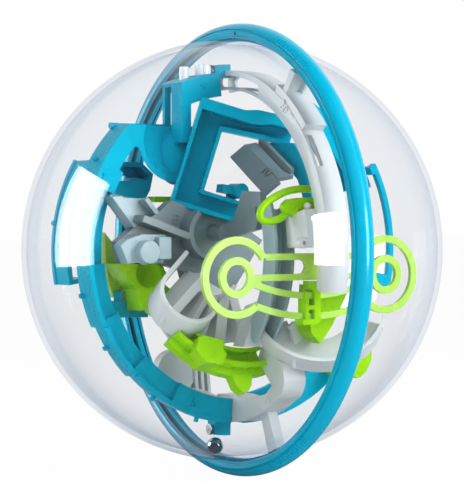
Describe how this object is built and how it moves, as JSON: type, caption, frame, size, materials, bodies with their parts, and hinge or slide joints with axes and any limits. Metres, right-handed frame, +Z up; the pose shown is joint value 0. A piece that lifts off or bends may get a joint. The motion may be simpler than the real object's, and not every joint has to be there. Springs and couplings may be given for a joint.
{
  "type": "tilt maze game",
  "caption": "Hand-held ball maze: moulded tracks and ramps inside a clear round shell that is clamped by a round grip ring, with a loose steel ball.",
  "frame": {"origin": "centre of the ring and of the clear shell", "axes": "+Y along the ring's axis towards the far half shell, +Z up to the top of the ring, +X to the front"},
  "size_m": [0.1894, 0.176, 0.1894],
  "materials": {
    "clear_shell": "clear moulded polystyrene, glossy",
    "ring_plastic": "glossy cyan moulded plastic",
    "blue_plastic": "satin cyan moulded plastic",
    "green_plastic": "satin lime moulded plastic",
    "grey_plastic": "satin light grey moulded plastic",
    "white_plastic": "satin white moulded plastic",
    "clear_peg": "frosted clear plastic",
    "steel": "zinc plated screw",
    "polished_steel": "polished steel ball"
  },
  "bodies": {
    "maze": {"blue_arch_column": "blue_plastic", "blue_corner_trough": "blue_plastic", "blue_cross_brace": "blue_plastic", "blue_dish_wall": "blue_plastic", "blue_funnel": "blue_plastic", "blue_inner_boss": "blue_plastic", "blue_inside_track": "blue_plastic", "blue_joint_bosses": "blue_plastic", "blue_landing": "blue_plastic", "blue_lower_track": "blue_plastic", "blue_rear_rim": "blue_plastic", "blue_rear_track": "blue_plastic", "blue_rim_bar": "blue_plastic", "blue_stair_track": "blue_plastic", "blue_upper_track": "blue_plastic", "clear_pegs": "clear_peg", "green_back_bar": "green_plastic", "green_bow": "green_plastic", "green_bowl": "green_plastic", "green_key_band": "green_plastic", "green_key_clip": "green_plastic", "green_key_rail": "green_plastic", "green_leaf": "green_plastic", "green_rear_pad": "green_plastic", "green_swing_track": "green_plastic", "grey_arm": "grey_plastic", "grey_bridge": "grey_plastic", "grey_crescent_tray": "grey_plastic", "grey_fan": "grey_plastic", "grey_hanging_loop": "grey_plastic", "grey_hub": "grey_plastic", "grey_inner_lane": "grey_plastic", "grey_paddle": "grey_plastic", "grey_ramp": "grey_plastic", "grey_side_chute": "grey_plastic", "grey_step_box": "grey_plastic", "grey_strut": "grey_plastic", "grey_track_lower": "grey_plastic", "grey_track_upper": "grey_plastic", "post_lower": "grey_plastic", "post_upper": "grey_plastic", "ring_left": "ring_plastic", "ring_right": "ring_plastic", "ring_screws": "steel", "shell_left": "clear_shell", "shell_right": "clear_shell", "steel_boss_screws": "steel", "white_loop_pin": "white_plastic"},
    "ball": {"steel_ball": "polished_steel"}
  },
  "joints": [
    {"name": "ball_roll", "type": "hinge", "parent": "maze", "child": "ball", "pos_m": [0, 0, 0], "axis": [0, 1, 0], "range_deg": [-180, 180]}
  ]
}
